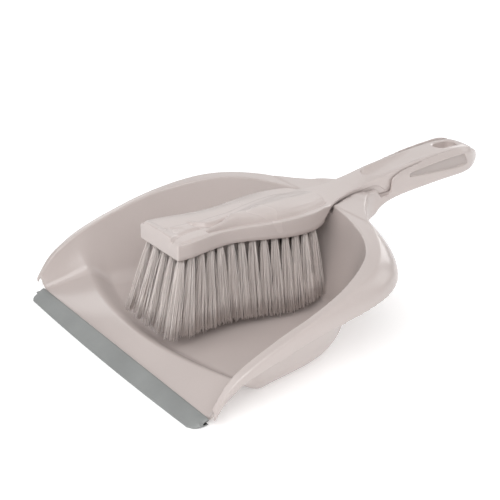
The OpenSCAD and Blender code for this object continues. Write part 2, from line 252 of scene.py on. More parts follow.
def get_co(me):
    co = np.empty(len(me.vertices) * 3)
    me.vertices.foreach_get("co", co)
    return co.reshape(-1, 3)


def get_edges(me):
    e = np.empty(len(me.edges) * 2, np.int64)
    me.edges.foreach_get("vertices", e)
    return e.reshape(-1, 2)


def smooth_mesh(o, rounds, weight=None, lam=0.5, mu=-0.53):
    """Taubin smoothing, which keeps the volume, on the points that weight picks."""
    me = o.data
    co, e = get_co(me), get_edges(me)
    n = len(co)
    deg = np.bincount(e.ravel(), minlength=n).astype(float)[:, None]
    w = np.ones((n, 1)) if weight is None else np.asarray(weight, float).reshape(-1, 1)
    for k in range(rounds * 2):
        s = np.empty_like(co)
        for a in range(3):
            s[:, a] = np.bincount(e[:, 0], co[e[:, 1], a], n) + np.bincount(e[:, 1], co[e[:, 0], a], n)
        co = co + w * (lam if k % 2 == 0 else mu) * (s / np.maximum(deg, 1) - co)
    me.vertices.foreach_set("co", co.ravel())
    me.update()
    return o


def snap(o, tree, weight, reach=1.3):
    """Moves points onto the nearest place of a finer surface."""
    co = get_co(o.data)
    for i in np.nonzero(weight > 0)[0]:
        hit = tree.find_nearest(Vector(co[i]), reach)
        if hit[0] is not None:
            co[i] += weight[i] * (np.array(hit[0]) - co[i])
    o.data.vertices.foreach_set("co", co.ravel())
    o.data.update()


def tree_of(o):
    return BVHTree.FromPolygons([tuple(v.co) for v in o.data.vertices], [tuple(f.vertices) for f in o.data.polygons])


def shade(o, angle=None):
    o.data.polygons.foreach_set("use_smooth", [True] * len(o.data.polygons))
    if angle:
        o.data.set_sharp_from_angle(angle=math.radians(angle))
    o.data.update()


def place(o):
    """From millimetres along the lip to metres in the frame."""
    o.data.transform(Matrix.Scale(0.001, 4) @ Matrix.Translation((0, -MID_Y, 0)))
    o.data.update()
    return o


def keep_big(o, least=200):
    """Drops the small loose shells that a voxel grid can leave."""
    me = o.data
    n, e = len(me.vertices), get_edges(me)
    lab = np.arange(n)
    while True:
        m = np.minimum(lab[e[:, 0]], lab[e[:, 1]])
        new = lab.copy()
        np.minimum.at(new, e[:, 0], m)
        np.minimum.at(new, e[:, 1], m)
        new = new[new]
        if (new == lab).all():
            break
        lab = new
    ids, count = np.unique(lab, return_counts=True)
    if len(ids) == 1:
        return o
    good = np.isin(lab, ids[count >= least])
    if good.all():
        return o
    remap = np.cumsum(good) - 1
    co = get_co(me)[good]
    faces = [[remap[i] for i in f.vertices] for f in me.polygons if good[f.vertices[0]]]
    o.data = raw_mesh(o.name, co, faces)
    return o


# ---------------------------------------------------------------- dustpan: the pan
NR, NF, NB, NG, NK = 150, 22, 12, 5, 12


def pan_normal(u):
    if u > 0.999:
        return np.array([0.0, 1, 0])
    if u < 0.001:
        return np.array([1.0, 0, 0])
    d = spline(rim_out, u + 0.02) - spline(rim_out, u - 0.02)
    v = np.array([d[1], -d[0], 0])
    return v / np.linalg.norm(v)


def pan_layer(u, o):
    """Half section of the pan from its middle line to the lower edge of the skirt."""
    w = WALL
    R, O, K2 = spline(rim_in, u), spline(rim_out, u), spline(foot, u)
    n = pan_normal(u)
    S = np.array([0, 12 + 98 * u**0.9, 0])
    K = np.array([K2[0], K2[1], float(ground(K2[0], K2[1]))])
    d = S[:2] - K[:2]
    l = np.linalg.norm(d)
    run = min(3 + 6 * float(sm(u / 0.3)), 0.5 * l)
    E = np.array([*(K[:2] + d / l * run), 0])
    E[2] = float(ground(E[0], E[1]))
    W = K + (R - K) * min(0.45, (4 + 6 * float(sm(u / 0.3))) / np.linalg.norm(R - K))
    h = max(SKIRT_H * float(spline(drop, u)), w + 1.6)
    f = SKIRT_OUT * float(spline(flare, u))
    z = np.array([0, 0, 1.0])
    pts = []
    for i in range(NF):
        p = np.array([S[0], S[1], 0]) * (1 - i / NF) + np.array([E[0], E[1], 0]) * (i / NF)
        pts.append(np.array([p[0], p[1], float(ground(p[0], p[1])) - o * w]))
    for i in range(NB + 1):
        t = i / NB
        p = E * (1 - t) ** 2 + 2 * K * t * (1 - t) + W * t * t
        pts.append(p + o * w * (n * 0.9 * math.sin(math.pi / 2 * t) - z * math.cos(math.pi / 2 * t)))
    Ro = R + o * (n * w * 0.85 - z * w)
    for i in range(1, 6):
        t = i / 6
        bulge = 0.5 * math.sin(math.pi * t)
        pts.append(pts[NF + NB] * (1 - t) + Ro * t + n * bulge * (1 - u * 0.4))
    pts.append(Ro + (z * 0.45 if o == 0 else 0))
    for i in range(1, NG):
        t = i / NG
        q = R * (1 - t) + O * t
        pts.append(q + z * (0.5 * math.sin(math.pi * t) if o else 0.5 * math.exp(-((t / 0.28) ** 2)) + 0.15 * math.sin(math.pi * t)) - o * (z * w + n * w * (0.85 * (1 - t) * -1 + 0.35 * t)) * 1.0)
    a0 = math.radians(10 + 22 * float(spline(flare, u)))
    for i in range(NK + 1):
        a = a0 + (math.pi / 2 - a0) * i / NK
        fx = f * (math.sin(a) - math.sin(a0)) / (1 - math.sin(a0))
        hz = h * (math.cos(a0) - math.cos(a)) / math.cos(a0)
        q = O + n * fx - z * hz
        q = q - o * (n * w * 0.8 * math.sin(a) + z * w * math.cos(a) + n * w * 0.35 * math.cos(a))
        pts.append(q)
    return np.array(pts)


def pan_shell():
    L = np.array([[pan_layer(i / NR, o) for o in (0, 1)] for i in range(NR + 1)])
    M = L.shape[2]
    index, verts = {}, []

    def vid(i, o, j, s):
        if j == 0 or i == NR:
            s = 0
        key = (i, o, j, s)
        if key not in index:
            p = L[i, o, j].copy()
            if j == 0 or i == NR:
                p[0] = 0
            if s:
                p[0] = -p[0]
            index[key] = len(verts)
            verts.append(p)
        return index[key]

    faces = []

    def quad(a, b, c, d, s):
        f = (a, b, c, d) if s == 0 else (d, c, b, a)
        f = tuple(dict.fromkeys(f))
        if len(f) > 2:
            faces.append(f)

    for s in (0, 1):
        for i in range(NR):
            for j in range(M - 1):
                quad(vid(i, 0, j, s), vid(i + 1, 0, j, s), vid(i + 1, 0, j + 1, s), vid(i, 0, j + 1, s), s)
                quad(vid(i, 1, j, s), vid(i, 1, j + 1, s), vid(i + 1, 1, j + 1, s), vid(i + 1, 1, j, s), s)
            quad(vid(i, 0, M - 1, s), vid(i + 1, 0, M - 1, s), vid(i + 1, 1, M - 1, s), vid(i, 1, M - 1, s), s)
        for j in range(M - 1):
            quad(vid(0, 0, j, s), vid(0, 0, j + 1, s), vid(0, 1, j + 1, s), vid(0, 1, j, s), s)
    o = new_object("pan_shell", verts, faces)
    fix_normals(o)
    return o


def nest(y):
    y = np.asarray(y, float)
    return np.minimum(17.5, brush_w(y) + GAP)


def channel():
    rings = []
    ys = list(np.arange(170, 325, 1.5)) + [325 + 8.2 * math.sin(math.radians(a)) for a in range(0, 88, 8)]
    for y in ys:
        if y <= 325:
            c = float(nest(y))
        else:
            c = float(nest(325)) * math.cos(math.asin((y - 325) / 8.2))
        f, r = float(channel_floor(y)), min(1.6, c * 0.4)
        ring = [(-c, 110), (-c, f + r), (-c + r * 0.3, f + r * 0.3), (-c + r, f), (c - r, f), (c - r * 0.3, f + r * 0.3), (c, f + r), (c, 110)]
        rings.append([(x, y, z) for x, z in ring])
    return loft("channel", rings)


def trough():
    rings = []
    ys = list(np.arange(182.5, 331, 1.5)) + [332, 333.5, 335, 336.5, 337.6, 338.5, 339.2, 339.8, 340]
    for y in ys:
        w, t, b = float(trough_w(y)), float(trough_top(y)), float(trough_bot(y))
        k = float(sm((y - 222) / 20) * sm((341 - y) / 6))
        c, e, g = 1 + 1.4 * k, 1.2 + 3.0 * k, min(2.2, w / 3)
        half = [(0, t + 0.02), (w * 0.5, t + 0.01), (max(w - c - 0.6, w * 0.55), t), (max(w - c, w * 0.6), t - 0.15),
                (w - 0.25 * c, t - e * 0.72), (w, t - e), (w + 0.02, t - e - 0.8), (w, (t - e + b + g) / 2), (w, b + g),
                (w - g * 0.3, b + g * 0.3), (w - g, b), (w * 0.4, b - 0.01), (0, b - 0.02)]
        ring = half + [(-x, z) for x, z in half[-2:0:-1]]
        rings.append([(x, y, z) for x, z in ring])
    o = loft("trough", rings)
    # hollows below the root on both sides of the channel
    for s in (1, -1):
        rings = []
        for y in np.linspace(176, 211, 20):
            a = float(nest(y)) + 2.2
            b = max(float(trough_w(y)) - 2.6, a + 0.4)
            top = float(np.interp(y, [170, 200, 214], [70.2, 71.6, 71.8]))
            rings.append([(s * x, y, z) for x, z in [(a, 40), (b, 40), (b, top - 2), (b - 0.15 * (b - a), top), (a + 0.15 * (b - a), top), (a, top - 2)]])
        cut(o, loft("hollow", rings))
        # shallow grip panels
        pts = rounded([(257, 77.3), (276, 76), (300, 74.8), (317.5, 75.6), (312.5, 84.4), (296, 83.9), (280, 82.7), (266, 81.3), (257, 80.2)], [0.8, 1, 1, 1.2, 1.2, 1, 1, 1, 0.8])
        side = [14.2, 19] if s > 0 else [-19, -14.2]
        cut(o, prism("panel", pts, "x", *side))
    rings = []
    for y in np.linspace(174, 231, 24):
        top = float(channel_floor(y)) - 3 - 1.2 * float(sm((y - 200) / 26)) if y < 229 else float(trough_bot(y)) + 0.5
        rings.append([(x, y, z) for x, z in [(-12.6, 40), (12.6, 40), (12.6, top - 1.5), (11.4, top), (-11.4, top), (-12.6, top - 1.5)]])
    cut(o, loft("below", rings))
    return o


def notch(s):
    yc = 232.5
    pts = rounded([(yc - 9, 95), (yc - 8.2, 73.6), (yc - 3.0, 67.2), (yc + 5.0, 67.4), (yc + 7, 71), (yc + 7.2, 77), (yc + 11, 83), (yc + 11, 95)], [0, 2.0, 1.4, 2.2, 1.5, 2.2, 1.5, 0])
    return prism("notch", pts, "x", *((11.2, 21) if s > 0 else (-21, -11.2)))


def stadium(l, w, yc, k=14):
    pts = []
    for a in np.linspace(-90, 90, k):
        pts.append((w / 2 * math.cos(math.radians(a + 90)), yc + (l - w) / 2 + w / 2 * math.sin(math.radians(a + 90))))
    for a in np.linspace(90, 270, k):
        pts.append((w / 2 * math.cos(math.radians(a + 90)), yc - (l - w) / 2 + w / 2 * math.sin(math.radians(a + 90))))
    return pts


def box(name, x0, x1, y0, y1, z0, z1):
    return prism(name, [(x0, y0), (x1, y0), (x1, y1), (x0, y1)], "z", z0, z1)


def make_dustpan():
    pan = pan_shell()
    tr = trough()
    cut(pan, channel())
    cut(tr, channel())
    for s in (1, -1):
        cut(tr, notch(s))
    cut(tr, prism("slot", stadium(22, 12.4, 306), "z", 55, 100))
    tongue = box("tongue", -104, 104, 6, 14, 1.9, 3.6)
    exact = tree_of(tr)
    join(pan, tr, tongue)
    pan.name = pan.data.name = "dustpan_moulding"
    remesh(pan, 0.85)
    keep_big(pan)
    smooth_mesh(pan, 3)
    weight = sm((get_co(pan.data)[:, 1] - 219) / 7)
    for _ in range(2):
        snap(pan, exact, weight)
        smooth_mesh(pan, 1, weight)
    snap(pan, exact, weight * 0.8)
    smooth_mesh(pan, 3, sm((get_co(pan.data)[:, 1] - 316) / 6))
    co = get_co(pan.data)
    co[:, 0] = np.clip(co[:, 0], -120.73, 120.73)
    co[:, 1] = np.minimum(co[:, 1], 339.97)
    co[:, 2] = np.clip(co[:, 2], 0.02, 89.45)
    pan.data.vertices.foreach_set("co", co.ravel())
    pan.data.update()
    x, y, z = np.abs(co[:, 0]), co[:, 1], co[:, 2]
    low, high = np.interp(y, [257, 276, 300, 317.5], [77.3, 76, 74.8, 75.6]), np.interp(y, [257, 266, 280, 296, 312.5], [80.2, 81.3, 82.7, 83.9, 84.4])
    # grip panel points: the material makes them matt and paints shade into their colour
    grip = (y > 256.5) & (y < 317.7 - (z - 75.6) * 0.568) & (z > low - 0.3) & (z < high + 0.3) & (x > 13.4) & (x < 15.0)
    at = pan.data.attributes.new("grip", "FLOAT", "POINT")
    at.data.foreach_set("value", grip.astype("f4"))
    return pan


# ---------------------------------------------------------------- brush
gR = Table([[60,14.5],[74,15.8],[83,15.5],[94,15.3],[109,17.3],[119,19.3],[135,21.2],[145,21.2],[155,20],[165,17.6],[173,15.2],[180,13]])
lL = Table([[74,15.4],[77.5,13.8],[86.7,10],[96.7,5.6],[108.4,1.2],[123.5,-4.5],[138.8,-9],[156,-12.6],[170,-13.2],[178,-12]])
bL = Table([[60,-1],[69.6,-0.6],[77,0.9],[90,-0.7],[100,-1.2],[114.6,-5.2],[126,-8.4],[139,-12],[156,-15],[170,-15],[180,-13]])
cres = Table([[68,-3],[72.3,0],[75.3,3.4],[81,6.8],[88.5,7.6],[95.3,5.4],[104,1.5]])
cR = Table([[46,16.2],[48.7,15.1],[56.7,11.7],[65.8,9.8],[74,9.6],[80,11]])
gL = Table([[47,-20],[50.5,-15.5],[52.3,-6],[56,0],[60,2.6],[66,5.2],[74.4,8.6]])
inner_y = Table([[-20,47.5],[-15.5,50.3],[-6,52.2],[0,56],[2.6,60],[5.2,66],[8.6,74.4]])


def relief(x, y):
    """Height of the moulded leaf and ribbons on top of the brush block."""
    z = np.zeros(np.broadcast(x, y).shape)
    w = brush_w(y)
    # the long leaf, steep along its right edge and soft along its left one
    a, b = lL(y), gR(y)
    t = (x - a) / np.maximum(b - a, 0.5)
    on = (t > 0) * (t < 1.02)
    along = sm((y - 76) / 26) * (1 - sm((y - (176.6 + 0.02 * x)) / 1.6))
    body = sm(t / 0.55) * (1 - sm((t - 0.86) / 0.14)) * (1 - 0.35 * t)
    z += 3.5 * body * along * on
    tip = sm((y - 73.5) / 2.5) * (1 - sm((y - 98) / 20))
    z += 1.7 * tip * sm(t / 0.3) * (1 - sm((t - 0.75) / 0.25)) * on
    # groove between the leaf and the right ribbon
    g = sm((y - 73) / 3) * (1 - sm((y - 175) / 4))
    z -= 1.5 * g * np.exp(-(((x - b) / 1.15) ** 2))
    # both ribbons rise towards the outer edge
    for s, inner in ((1, np.where(y < 74, cR(y), b)), (-1, -bL(y))):
        q = (s * x - inner) / np.maximum(w - 1.2 - inner, 1)
        edge = 1 - sm((y - 168) / 10)
        z += edge * (1.7 * clamp01(q) ** 1.2 - 0.35 * (1 - clamp01(q)) * sm((s * x - inner + 0.8) / 1.6))
    # edge where the left ribbon passes over the saddle
    c = cres(y)
    f = sm((y - 69.5) / 3.5) * (1 - sm((y - 92) / 9))
    z += -2.3 * f * sm((x - c + 1.0) / 2.0) * np.exp(-(np.maximum(x - c, 0) / 5) ** 2)
    z += 0.4 * f * np.exp(-(((x - c + 2.2) / 2.2) ** 2))
    # line that crosses from the front right corner
    f = sm((77 - y) / 5)
    z -= 1.4 * f * np.exp(-(((x - cR(y)) / 1.15) ** 2))
    # front scoop between the two lines
    inside = sm((y - inner_y(x)) * -1 / 2.0 + 0.5) * sm((cR(y) - x) / 1.2) * (x > -22)
    z += inside * (1.0 - 1.5 * sm((y - 47) / 9) + 0.8 * sm((y - 56) / 16))
    # the front ends of the ribbons sit lower than the middle plate
    for s in (1, -1):
        e = sm((s * x - (15.6 if s > 0 else 17.6)) / 1.2) * (1 - sm((y - 48.2) / (4 if s > 0 else 3.0)))
        z -= (0.7 if s > 0 else 1.6) * e
    # narrow step along both upper edges, deepest at the front
    z -= 0.9 * (1 - sm((y - 56) / 30)) * sm((np.abs(x) - (w - 2.4)) / 0.9) * sm((y - 47.6) / 3)
    return z


def thumb(x, y):
    """Spoon-shaped thumb recess in the handle."""
    w = brush_w(y) - 2.7
    fade = 1 - 0.25 * sm((y - 232) / 20) - 0.75 * sm((y - 244) / 48)
    front = np.where(y < 234, clamp01(1 - ((234 - y) / 10.0) ** 2), 1)
    ww = np.maximum(w * np.sqrt(np.maximum(front, 0.0)), 0.4)
    q = clamp01(np.abs(x) / ww)
    return 4.4 * fade * (1 - q**4) * sm(front * 2.2)


def brush_top(x, y):
    w, e, c = brush_w(y), brush_edge(y), brush_crown(y)
    q = clamp01(np.abs(x) / np.maximum(w, 0.1))
    prof = 1 - 0.05 * sm(q / 0.35) - 0.95 * np.clip((q - 0.2) / 0.8, 0, 1) ** 2.1
    base = e + 0.3 + (c - e - 0.3) * prof
    z = base + relief(x, y) * (1 - sm((y - 176) / 10)) - thumb(x, y)
    return z


def slot_dip(x, y, l, w, yc):
    """Rounds the surface over into the hang hole."""
    d = np.hypot(x, np.maximum(np.abs(y - yc) - (l - w) / 2, 0)) - w / 2
    return 1.1 * np.exp(-((np.maximum(d, 0) / 0.9) ** 1.5))


def brush_ring(y, inset=0.0, nx=140):
    w, b, l = float(brush_w(y)), float(brush_under(y)), float(brush_ledge(y))
    k = w - 0.5
    if 170 <= y < 178:
        k = max(12, (w - 0.5) + (12 - w + 0.5) * (y - 170) / 8)
    elif 178 <= y < 222:
        k = min(11.9, w - 0.3)
    elif y >= 222:
        k = w - 0.4
    w, k = max(w - inset, 0.3), max(k - inset, 0.25)
    r = min(1.0, w * 0.35)
    u = np.linspace(-1, 1, nx)
    xs = np.sign(u) * np.abs(u) ** 0.92 * (w - r)
    yy = np.full(nx, y)
    zt = brush_top(xs, yy) - inset
    zt = zt - slot_dip(xs, yy, 21, 11.4, 306)
    out = []
    for s, edge in ((1, float(zt[-1])), (-1, float(zt[0]))):
        side = []
        for a in np.radians([18, 36, 54, 72, 90]):
            side.append((s * (w - r + r * math.sin(a)), edge - r * 0.9 * (1 - math.cos(a))))
        low = edge - r * 0.9
        q = min(0.4, (l - b) * 0.3 + 0.1)
        bb = b + inset
        ll = min(max(l, bb + 0.3), low - 0.5) if low - 0.5 > bb + 0.3 else (low + bb) / 2
        side += [(s * w, low * 0.75 + ll * 0.25), (s * w, low * 0.5 + ll * 0.5), (s * w, low * 0.25 + ll * 0.75), (s * w, ll + 0.15), (s * (w - 0.12), ll),
                 (s * (k + 0.02), ll - 0.15), (s * k, ll - 0.3), (s * k, (ll + bb) / 2), (s * k, bb + q), (s * (k - q * 0.3), bb + q * 0.3), (s * (k - q), bb), (s * k * 0.5, bb)]
        out.append(side)
    ring = [(x, z) for x, z in zip(xs, zt)] + out[0] + [(0.0, b + inset)] + out[1][::-1]
    return [(x, y, z) for x, z in ring]


def make_brush():
    rings = []
    for y, i in ((46.5, 1.1), (46.56, 0.75), (46.75, 0.42), (47.05, 0.16), (47.45, 0.0)):
        rings.append(np.array(brush_ring(y, i)))
    ys = list(np.concatenate([np.arange(47.9, 184, 0.55), np.arange(184, 222, 1.0), np.arange(222, 246, 0.4), np.arange(246, 291, 1.0), np.arange(291, 322, 0.5), [322.7, 323.5, 324.3, 325.1, 326, 327, 328, 329, 329.8, 330.5, 331, 331.4, 331.7, 331.9, 332]]))
    rings += [np.array(brush_ring(y)) for y in ys]
    o = loft("brush_moulding", rings, flat_start=True)
    cut(o, prism("slot", stadium(21, 11.4, 306, 20), "z", 60, 100))
    import bmesh
    bm = bmesh.new()
    bm.from_mesh(o.data)
    bmesh.ops.remove_doubles(bm, verts=bm.verts, dist=0.004)
    bmesh.ops.dissolve_degenerate(bm, edges=bm.edges, dist=0.001)
    bmesh.ops.triangulate(bm, faces=[f for f in bm.faces if len(f.verts) > 4])
    bm.to_mesh(o.data)
    bm.free()
    return o


# ---------------------------------------------------------------- bristles
TUFTS = 14


def tuft_y(i):
    return 52 + i * 8.3


def tuft_x(k, y):
    return k / 2 * (float(brush_w(y)) - 5)


def lean_y(i):
    t = i / (TUFTS - 1)
    return -15 * max(0, 1 - t / 0.34) ** 1.4 + max(0, (t - 0.8) / 0.2)


def lean_x(k, i):
    return k / 2 * (7.5 - 2 * math.sin(math.pi * i / (TUFTS - 1)))


BRISTLE_L, HAIRS = 59.0, 72


def trim(k, i):
    return (3.4 + 0.5 * abs(k)) * float(sm((i / (TUFTS - 1) - 0.74) / 0.26))


def make_row(k, name, seed, wall):
    """One row of tufts: every filament is its own thin tube, its upper end sunk a little into the underside of the
    block.
    """
    rng = np.random.default_rng(seed)
    verts, faces, tones = [], [], []
    steps = np.array([0, 0.1, 0.26, 0.48, 0.74, 1.0])
    for i in range(TUFTS):
        y = tuft_y(i)
        root = np.array([tuft_x(k, y), y, float(brush_under(y)) + 0.3])
        ax = np.array([lean_x(k, i), lean_y(i), -BRISTLE_L])
        axis = ax / np.linalg.norm(ax)
        length = BRISTLE_L / np.linalg.norm(ax) * BRISTLE_L - trim(k, i)
        e1 = np.cross(axis, [0, 1, 0]); e1 /= np.linalg.norm(e1)
        e2 = np.cross(axis, e1)
        clumps = rng.normal(0, 1, (9, 2)) * 0.8
        for h in range(HAIRS):
            r, a = 1.8 * math.sqrt((h + 0.5) / HAIRS), h * 2.399963 + i
            off = np.array([r * math.cos(a), r * math.sin(a)])
            cl = clumps[(h * 5 + i) % 9]
            end = off * np.array([2.1, 3.0]) + cl * 0.8 + rng.normal(0, 1, 2) * np.array([0.7, 1.1])
            far = np.linalg.norm(end / np.array([5.0, 6.6]))
            if far > 1:
                end /= far
            bow = off / 1.8 * 0.3 + rng.normal(0, 0.4, 2)
            reach = length * (1 - abs(rng.normal(0, 0.008))) - rng.random() * 1.8
            if rng.random() < 0.12:
                reach -= rng.random() * 5.0
            rad = 0.17 + 0.04 * rng.random()
            tone = 0.75 * rng.random() + 0.25 * rng.random()
            path = []
            for t in steps:
                far = t**0.82
                o2 = off * (1 - far) + end * far + bow * math.sin(math.pi * min(t * 1.15, 1))
                path.append(root - axis * 1.2 * (1 - t) + axis * reach * t + e1 * o2[0] + e2 * o2[1])
            d = Vector(path[-1] - path[1])
            hit = wall.ray_cast(Vector(path[1]), d.normalized(), d.length + 1.2)
            if hit[0] is not None:
                f = max(hit[3] - 1.2, 1.0) / d.length
                path = path[:2] + [path[1] + (p - path[1]) * f for p in path[2:]]
            base, spin = len(verts), rng.random() * 2.1
            for q, p in enumerate(path):
                rr = rad * (1.0 if q < 5 else 0.8)
                for c in range(3):
                    an = spin + c * 2 * math.pi / 3
                    verts.append(p + e1 * rr * math.cos(an) + e2 * rr * math.sin(an))
                    tones.append(tone)
            m = len(path)
            for q in range(m - 1):
                for c in range(3):
                    a0, b0 = base + q * 3 + c, base + q * 3 + (c + 1) % 3
                    faces.append((a0, b0, b0 + 3, a0 + 3))
            faces.append((base + 2, base + 1, base))
            faces.append((base + (m - 1) * 3, base + (m - 1) * 3 + 1, base + (m - 1) * 3 + 2))
    o = new_object(name, verts, faces)
    fix_normals(o)
    at = o.data.attributes.new("tone", "FLOAT", "POINT")
    at.data.foreach_set("value", tones)
    return o


# ---------------------------------------------------------------- rubber strip
def make_lip():
    prof = [(-2, 0.15), (-2, 0.8), (-1.4, 1.15), (0.5, 1.9), (3.5, 3.2), (7, 4.5), (9, 5.0), (10.6, 5.3), (11.5, 5.35), (11.9, 5.1), (12, 4.6), (11.9, 3.9), (11.5, 3.65),
            (6.2, 3.6), (6, 3.4), (6, 2.1), (6.2, 1.9), (11, 1.9), (10.8, 0.6), (10.2, 0.05), (6, 0.0), (-1.8, 0.02)]
    rings = []
    xs = np.concatenate([[-110.2, -109.8, -109.2, -108.4], np.linspace(-107.4, 107.4, 120), [108.4, 109.2, 109.8, 110.2]])
    for x in xs:
        a = abs(x)
        end = clamp01((a - 107.4) / 2.8)
        bow = -2 + 2 * (a / 104) ** 2 if a < 104 else (a - 104) / 3.5 * 2
        front = bow + 3.0 * float(end) ** 2
        sc = math.sqrt(max(1 - float(end) ** 2, 0.03)) * 0.35 + 0.65
        ring = []
        for (py, pz) in prof:
            yy = front + (py + 2) * (12 - front) / 14
            if 6.0 <= py and 1.8 < pz < 3.7:
                yy = py
            ring.append((x, yy, 2.7 + (pz - 2.7) * sc if end > 0 else pz))
        rings.append(ring)
    return loft("lip_rubber", rings)


# ---------------------------------------------------------------- materials
def srgb(r, g, b):
    return tuple((c / 12.92 if c <= 0.04045 else ((c + 0.055) / 1.055) ** 2.4) for c in (r / 255, g / 255, b / 255)) + (1.0,)


def node_material(name):
    m = bpy.data.materials.new(name)
    m.use_nodes = True
    nt = m.node_tree
    return m, nt, nt.nodes["Principled BSDF"]


def plastic(name, dark, light, rough, grain=0.02, seed=0.0, grip=0.0):
    """Moulded polypropylene: faint flow marks in the colour, fine grain and slight gloss changes.
    Faces on the grip panels are matt, which is their real finish, and their colour is darkened as painted shade for the
    shade that falls on the sunken panels."""
    m, nt, bs = node_material(name)
    N, L = nt.nodes, nt.links
    co = N.new("ShaderNodeTexCoord")
    mp = N.new("ShaderNodeMapping")
    mp.inputs["Location"].default_value = (seed, seed * 0.7, 0)
    L.new(co.outputs["Object"], mp.inputs["Vector"])
    big = N.new("ShaderNodeTexNoise")
    big.inputs["Scale"].default_value, big.inputs["Detail"].default_value = 14, 3
    L.new(mp.outputs[0], big.inputs["Vector"])
    fine = N.new("ShaderNodeTexNoise")
    fine.inputs["Scale"].default_value, fine.inputs["Detail"].default_value = 900, 4
    L.new(mp.outputs[0], fine.inputs["Vector"])
    ramp = N.new("ShaderNodeValToRGB")
    ramp.color_ramp.elements[0].position, ramp.color_ramp.elements[0].color = 0.3, dark
    ramp.color_ramp.elements[1].position, ramp.color_ramp.elements[1].color = 0.7, light
    mix = N.new("ShaderNodeMath"); mix.operation = "MULTIPLY_ADD"
    mix.inputs[1].default_value = 0.25
    L.new(fine.outputs["Fac"], mix.inputs[0])
    sub = N.new("ShaderNodeMath"); sub.operation = "MULTIPLY_ADD"
    sub.inputs[1].default_value, sub.inputs[2].default_value = 0.75, 0.0
    L.new(big.outputs["Fac"], sub.inputs[0])
    L.new(sub.outputs[0], mix.inputs[2])
    L.new(mix.outputs[0], ramp.inputs["Fac"])
    rr = N.new("ShaderNodeMapRange")
    rr.inputs["To Min"].default_value, rr.inputs["To Max"].default_value = rough - 0.05, rough + 0.05
    L.new(big.outputs["Fac"], rr.inputs["Value"])
    # painted shade: on the grip panels the colour is multiplied darker to stand for the shade they lie in; the added
    # roughness is their real matt finish
    if grip:
        at = N.new("ShaderNodeAttribute"); at.attribute_name = "grip"
        tint = N.new("ShaderNodeMix"); tint.data_type, tint.blend_type = "RGBA", "MULTIPLY"
        tint.inputs[7].default_value = (grip, grip, grip, 1)
        L.new(at.outputs["Fac"], tint.inputs[0])
        L.new(ramp.outputs["Color"], tint.inputs[6])
        L.new(tint.outputs[2], bs.inputs["Base Color"])
        matt = N.new("ShaderNodeMath"); matt.operation = "MULTIPLY_ADD"
        matt.inputs[1].default_value = 0.25
        L.new(at.outputs["Fac"], matt.inputs[0]); L.new(rr.outputs["Result"], matt.inputs[2])
        L.new(matt.outputs[0], bs.inputs["Roughness"])
    else:
        L.new(ramp.outputs["Color"], bs.inputs["Base Color"])
        L.new(rr.outputs["Result"], bs.inputs["Roughness"])
    bump = N.new("ShaderNodeBump")
    bump.inputs["Strength"].default_value, bump.inputs["Distance"].default_value = grain, 0.0004
    L.new(fine.outputs["Fac"], bump.inputs["Height"])
    L.new(bump.outputs["Normal"], bs.inputs["Normal"])
    bs.inputs["IOR"].default_value = 1.49
    return m


def rubber(name):
    m, nt, bs = node_material(name)
    N, L = nt.nodes, nt.links
    co = N.new("ShaderNodeTexCoord")
    a = N.new("ShaderNodeTexNoise"); a.inputs["Scale"].default_value, a.inputs["Detail"].default_value = 30, 5
    b = N.new("ShaderNodeTexNoise"); b.inputs["Scale"].default_value, b.inputs["Detail"].default_value = 1600, 3
    L.new(co.outputs["Object"], a.inputs["Vector"]); L.new(co.outputs["Object"], b.inputs["Vector"])
    ramp = N.new("ShaderNodeValToRGB")
    ramp.color_ramp.elements[0].position, ramp.color_ramp.elements[0].color = 0.3, srgb(136, 138, 137)
    ramp.color_ramp.elements[1].position, ramp.color_ramp.elements[1].color = 0.75, srgb(152, 154, 153)
    L.new(a.outputs["Fac"], ramp.inputs["Fac"])
    L.new(ramp.outputs["Color"], bs.inputs["Base Color"])
    rr = N.new("ShaderNodeMapRange")
    rr.inputs["To Min"].default_value, rr.inputs["To Max"].default_value = 0.42, 0.56
    L.new(a.outputs["Fac"], rr.inputs["Value"]); L.new(rr.outputs["Result"], bs.inputs["Roughness"])
    bump = N.new("ShaderNodeBump")
    bump.inputs["Strength"].default_value, bump.inputs["Distance"].default_value = 0.12, 0.0003
    L.new(b.outputs["Fac"], bump.inputs["Height"]); L.new(bump.outputs["Normal"], bs.inputs["Normal"])
    return m


def bristle(name):
    m, nt, bs = node_material(name)
    N, L = nt.nodes, nt.links
    at = N.new("ShaderNodeAttribute"); at.attribute_name = "tone"
    ramp = N.new("ShaderNodeValToRGB")
    ramp.color_ramp.elements[0].position, ramp.color_ramp.elements[0].color = 0.0, srgb(222, 211, 206)
    ramp.color_ramp.elements[1].position, ramp.color_ramp.elements[1].color = 1.0, srgb(252, 245, 241)
    L.new(at.outputs["Fac"], ramp.inputs["Fac"])
    L.new(ramp.outputs["Color"], bs.inputs["Base Color"])
    co = N.new("ShaderNodeTexCoord")
    n = N.new("ShaderNodeTexNoise"); n.inputs["Scale"].default_value = 400
    L.new(co.outputs["Object"], n.inputs["Vector"])
    rr = N.new("ShaderNodeMapRange")
    rr.inputs["To Min"].default_value, rr.inputs["To Max"].default_value = 0.32, 0.5
    L.new(n.outputs["Fac"], rr.inputs["Value"]); L.new(rr.outputs["Result"], bs.inputs["Roughness"])
    return m


